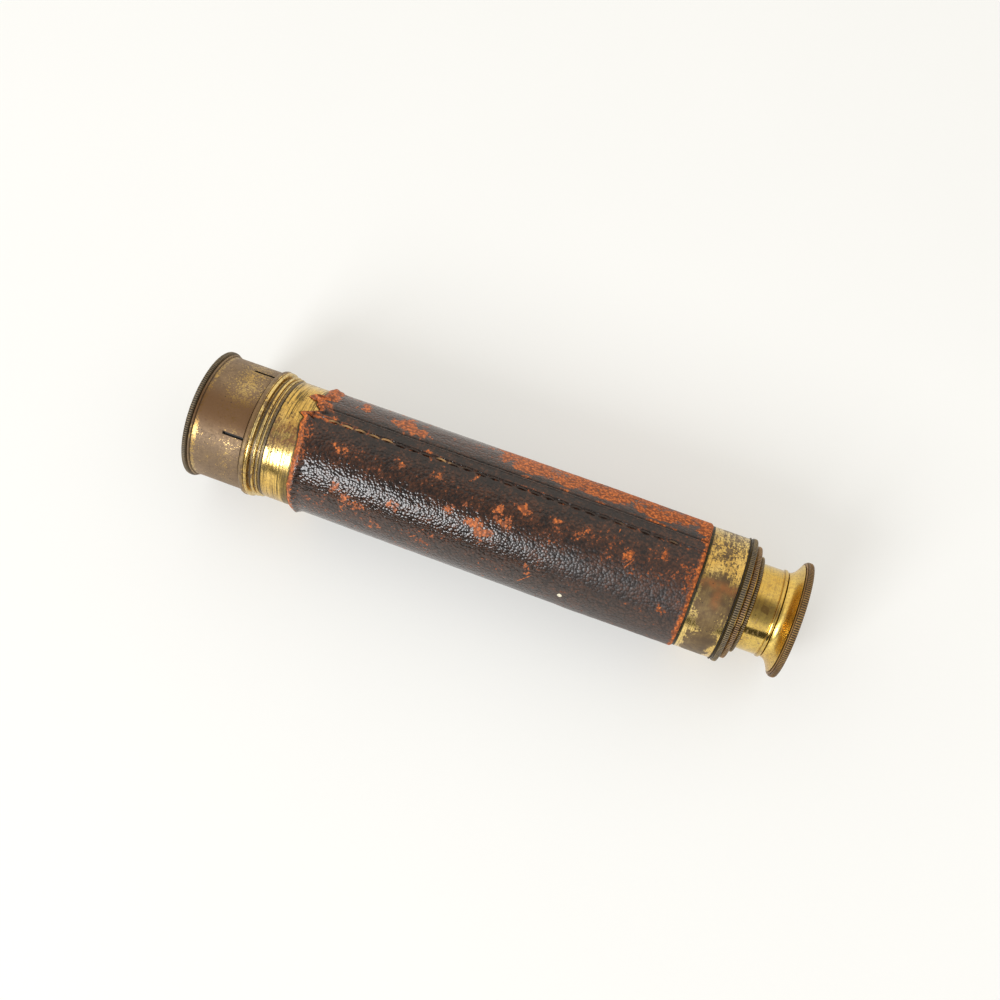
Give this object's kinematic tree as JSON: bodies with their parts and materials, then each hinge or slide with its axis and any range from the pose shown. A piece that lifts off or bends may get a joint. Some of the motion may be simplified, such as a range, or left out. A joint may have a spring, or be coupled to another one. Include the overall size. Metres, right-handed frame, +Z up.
{
  "type": "telescope",
  "caption": "Brass hand telescope with a leather-covered barrel, nested sliding draw tubes, a push-on lens cap with spring slits and a flared eyepiece.",
  "frame": {"origin": "on the table, below the middle of the closed length, with the telescope lying on its side", "axes": "+X along the optical axis from the capped objective end to the eyepiece, +Z up; the leather's lap seam is near the top, turned towards +Y"},
  "size_m": [0.2422, 0.0516, 0.0516],
  "materials": {
    "polished_brass": "hand-worn polish with turned lines and small dark spots",
    "aged_brass": "mottled brown patina with bright worn flecks",
    "dark_brass": "dark oxidised milling",
    "blackened_brass": "matt chemical black inside",
    "leather": "pebbled, dark, rubbed through to tan",
    "thread": "waxed linen",
    "optical_glass": "polished"
  },
  "bodies": {
    "barrel": {"front_collar": "polished_brass", "barrel_tube": "aged_brass", "leather_cover": "leather", "seam_thread": "thread", "objective_cell": "blackened_brass", "crown_lens": "optical_glass", "flint_lens": "optical_glass", "lens_retaining_ring": "blackened_brass", "barrel_end_ring": "dark_brass", "barrel_guide_sleeve": "aged_brass"},
    "cap": {"cap_plate": "dark_brass", "cap_skirt": "aged_brass"},
    "draw_1": {"draw_1_tube": "aged_brass", "draw_1_stop_collar": "aged_brass", "draw_1_end_ring": "dark_brass", "draw_1_guide_sleeve": "aged_brass", "draw_1_baffle": "blackened_brass"},
    "draw_2": {"draw_2_tube": "aged_brass", "draw_2_stop_collar": "aged_brass", "draw_2_end_ring": "dark_brass", "draw_2_guide_sleeve": "aged_brass", "draw_2_baffle": "blackened_brass"},
    "draw_3": {"draw_3_tube": "polished_brass", "draw_3_stop_collar": "aged_brass", "erector_tube": "blackened_brass", "erector_front_cell": "aged_brass", "erector_front_lens": "optical_glass", "erector_stop": "blackened_brass", "erector_rear_lens": "optical_glass", "erector_rear_cell": "aged_brass", "eyepiece_tube": "blackened_brass", "field_lens": "optical_glass", "field_lens_ring": "blackened_brass", "field_stop": "blackened_brass", "eyepiece_neck": "polished_brass", "eyepiece_bell": "polished_brass", "eye_lens_cell": "blackened_brass", "eye_lens": "optical_glass", "eyecup": "dark_brass"}
  },
  "joints": [
    {"name": "cap_pull", "type": "slide", "parent": "barrel", "child": "cap", "axis": [-1, 0, 0], "range_m": [0, 0.05]},
    {"name": "draw_1_slide", "type": "slide", "parent": "barrel", "child": "draw_1", "axis": [1, 0, 0], "range_m": [0, 0.155]},
    {"name": "draw_2_slide", "type": "slide", "parent": "draw_1", "child": "draw_2", "axis": [1, 0, 0], "range_m": [0, 0.158]},
    {"name": "draw_3_slide", "type": "slide", "parent": "draw_2", "child": "draw_3", "axis": [1, 0, 0], "range_m": [0, 0.1595]}
  ]
}
